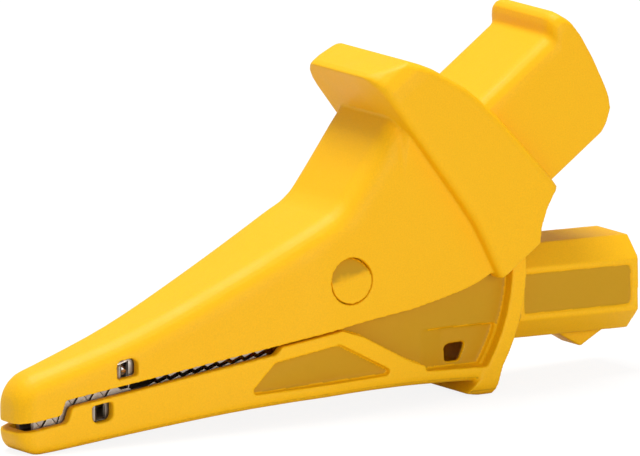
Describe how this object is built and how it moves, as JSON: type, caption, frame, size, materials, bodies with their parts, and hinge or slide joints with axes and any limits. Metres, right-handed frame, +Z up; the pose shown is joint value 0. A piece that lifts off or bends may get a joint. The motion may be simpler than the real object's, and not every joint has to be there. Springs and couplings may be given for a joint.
{
  "type": "crocodile clip",
  "caption": "Fully insulated spring-loaded crocodile clip with toothed metal jaw inserts, a hand guard, a thumb grip and a socket barrel for a shrouded 4 mm test-lead plug.",
  "frame": {"origin": "middle of the bounding box in plan, at the ground plane under the closed clip", "axes": "+X from the jaws towards the socket barrel, +Y across the clip along the pivot axis, +Z up"},
  "size_m": [0.095, 0.022, 0.0508],
  "materials": {
    "yellow_polyamide": "fine matt moulded grain",
    "nickel_plated_steel": "pressed sheet, nickel plated",
    "nickel_plated_brass": "turned or folded, nickel plated",
    "black_polyamide": "smooth moulded",
    "spring_steel": "drawn wire"
  },
  "bodies": {
    "lower": {"lower_casing": "yellow_polyamide", "lower_jaw_insert": "nickel_plated_steel", "contact_strap": "nickel_plated_brass", "socket_contact": "nickel_plated_brass", "socket_sleeve": "black_polyamide", "spring_bush": "nickel_plated_steel", "torsion_spring": "spring_steel"},
    "upper": {"upper_casing": "yellow_polyamide", "upper_jaw_insert": "nickel_plated_steel"}
  },
  "joints": [
    {"name": "jaw_hinge", "type": "hinge", "parent": "lower", "child": "upper", "pos_m": [0.00138, 0, 0.01848], "axis": [0, 1, 0], "range_deg": [0, 30], "stiffness_Nm_per_rad": 0.35, "springref_deg": -40.91, "deforming": ["torsion_spring"]}
  ]
}
